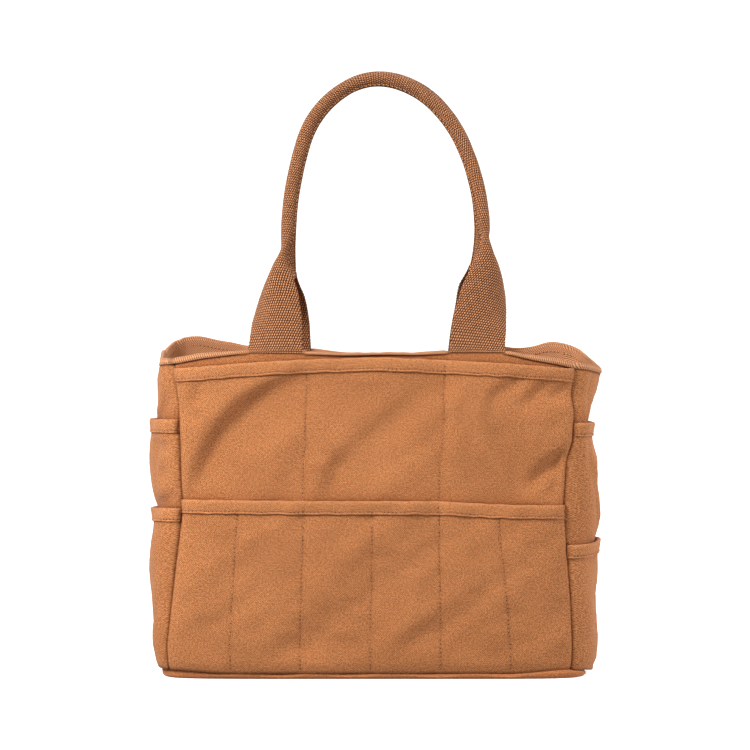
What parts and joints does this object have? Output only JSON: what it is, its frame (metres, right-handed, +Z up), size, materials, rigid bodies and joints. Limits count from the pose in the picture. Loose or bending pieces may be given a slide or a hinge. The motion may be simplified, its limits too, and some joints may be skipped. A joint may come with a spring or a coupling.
{
  "type": "canvas garden tool bag",
  "caption": "Open-topped canvas tote that stands on a stiffened base, with two tiers of outside pockets on all four sides and two rolled webbing handles that fold down.",
  "frame": {"origin": "on the floor under the middle of the base", "axes": "+Z up; the front faces -Y; +X is to the right as the front is seen"},
  "size_m": [0.4014, 0.1694, 0.5327],
  "materials": {
    "canvas": "matte tan cotton canvas",
    "twill_tape": "matte twill tape",
    "webbing": "coarse woven cotton webbing",
    "core_rope": "undyed cotton rope",
    "board": "plain stiff sheet"
  },
  "bodies": {
    "bag": {"base_panel": "canvas", "base_stiffener": "board", "base_lining": "canvas", "front_panel": "canvas", "right_gusset": "canvas", "back_panel": "canvas", "left_gusset": "canvas", "front_upper_pocket": "canvas", "front_upper_pocket_binding": "canvas", "front_lower_pocket": "canvas", "front_lower_pocket_binding": "canvas", "right_upper_pocket": "canvas", "right_upper_pocket_binding": "canvas", "right_lower_pocket": "canvas", "right_lower_pocket_binding": "canvas", "back_upper_pocket": "canvas", "back_upper_pocket_binding": "canvas", "back_lower_pocket": "canvas", "back_lower_pocket_binding": "canvas", "left_upper_pocket": "canvas", "left_upper_pocket_binding": "canvas", "left_lower_pocket": "canvas", "left_lower_pocket_binding": "canvas", "rim_tape": "twill_tape", "front_right_seam_tape": "twill_tape", "right_back_seam_tape": "twill_tape", "back_left_seam_tape": "twill_tape", "left_front_seam_tape": "twill_tape", "front_handle_left_end": "webbing", "front_handle_right_end": "webbing", "back_handle_left_end": "webbing", "back_handle_right_end": "webbing"},
    "front_handle": {"front_handle_webbing": "webbing", "front_handle_core": "core_rope"},
    "back_handle": {"back_handle_webbing": "webbing", "back_handle_core": "core_rope"}
  },
  "joints": [
    {"name": "front_handle_fold", "type": "hinge", "parent": "bag", "child": "front_handle", "pos_m": [0, -0.07485, 0.2823], "axis": [1, 0, 0], "range_deg": [0, 165]},
    {"name": "back_handle_fold", "type": "hinge", "parent": "bag", "child": "back_handle", "pos_m": [0, 0.07485, 0.2823], "axis": [-1, 0, 0], "range_deg": [0, 165]}
  ]
}
